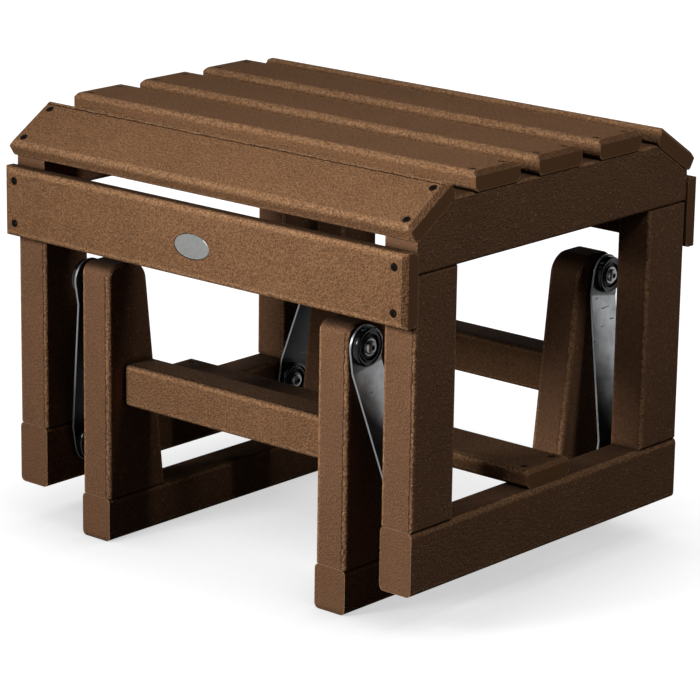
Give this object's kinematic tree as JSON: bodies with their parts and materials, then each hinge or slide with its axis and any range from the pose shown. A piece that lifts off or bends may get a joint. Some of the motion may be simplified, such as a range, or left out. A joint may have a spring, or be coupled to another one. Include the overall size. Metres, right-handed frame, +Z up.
{
  "type": "glider ottoman",
  "caption": "Slatted outdoor footstool of plastic lumber whose seat frame hangs on steel swing arms with sealed bearings and glides front to back over a fixed base.",
  "frame": {"origin": "on the floor below the middle of the ottoman", "axes": "+X along the slats, -Y is the front of the ottoman, +Z up"},
  "size_m": [0.522, 0.451, 0.431],
  "materials": {
    "moulded_lumber": "brown moulded HDPE lumber with a fine grain",
    "arm_steel": "stamped zinc plated steel",
    "bearing_housing_steel": "gloss black coated steel",
    "seal_rubber": "moulded black rubber",
    "pivot_bolt_steel": "zinc plated steel",
    "black_screw_steel": "black coated steel"
  },
  "bodies": {
    "base": {"base_cross_rail_back": "moulded_lumber", "base_cross_rail_front": "moulded_lumber", "base_runner_left": "moulded_lumber", "base_runner_right": "moulded_lumber", "base_upright_back_left": "moulded_lumber", "base_upright_back_right": "moulded_lumber", "base_upright_front_left": "moulded_lumber", "base_upright_front_right": "moulded_lumber", "cross_rail_screws": "black_screw_steel", "upper_bearing_hubs": "pivot_bolt_steel", "upper_pivot_bolts": "pivot_bolt_steel", "upper_pivot_washers": "pivot_bolt_steel", "upright_screws": "black_screw_steel"},
    "front_arms": {"bearing_seals_front": "seal_rubber", "bearings_front_lower": "bearing_housing_steel", "bearings_front_upper": "bearing_housing_steel", "swing_arm_front_left": "arm_steel", "swing_arm_front_right": "arm_steel"},
    "seat_frame": {"apron_back": "moulded_lumber", "apron_front": "moulded_lumber", "apron_screws": "black_screw_steel", "lower_bearing_hubs_front": "pivot_bolt_steel", "lower_pivot_bolts_front": "pivot_bolt_steel", "lower_pivot_washers_front": "pivot_bolt_steel", "lower_rail_left": "moulded_lumber", "lower_rail_right": "moulded_lumber", "post_back_left": "moulded_lumber", "post_back_right": "moulded_lumber", "post_front_left": "moulded_lumber", "post_front_right": "moulded_lumber", "post_screws_lower": "black_screw_steel", "post_screws_upper": "black_screw_steel", "slat_flat_back": "moulded_lumber", "slat_flat_front": "moulded_lumber", "slat_flat_middle": "moulded_lumber", "slat_screws": "black_screw_steel", "slat_sloped_back": "moulded_lumber", "slat_sloped_front": "moulded_lumber", "stretcher": "moulded_lumber", "stretcher_screws": "black_screw_steel", "upper_rail_left": "moulded_lumber", "upper_rail_right": "moulded_lumber"},
    "back_arms": {"bearing_seals_back": "seal_rubber", "bearings_back_lower": "bearing_housing_steel", "bearings_back_upper": "bearing_housing_steel", "lower_bearing_hubs_back": "pivot_bolt_steel", "lower_pivot_bolts_back": "pivot_bolt_steel", "lower_pivot_washers_back": "pivot_bolt_steel", "swing_arm_back_left": "arm_steel", "swing_arm_back_right": "arm_steel"}
  },
  "joints": [
    {"name": "glide", "type": "hinge", "parent": "base", "child": "front_arms", "pos_m": [0, -0.186, 0.263], "axis": [1, 0, 0], "range_deg": [-20, 20]},
    {"name": "seat_on_front_arms", "type": "hinge", "parent": "front_arms", "child": "seat_frame", "pos_m": [0, -0.154, 0.08], "axis": [1, 0, 0], "range_deg": [-24.1, 24.1]},
    {"name": "back_arm_swing", "type": "hinge", "parent": "base", "child": "back_arms", "pos_m": [0, 0.186, 0.263], "axis": [1, 0, 0], "range_deg": [-20, 20]}
  ],
  "couplings": [
    {"joint": "seat_on_front_arms", "follows": "glide", "ratio": -1.205},
    {"joint": "back_arm_swing", "follows": "glide", "ratio": 1}
  ]
}
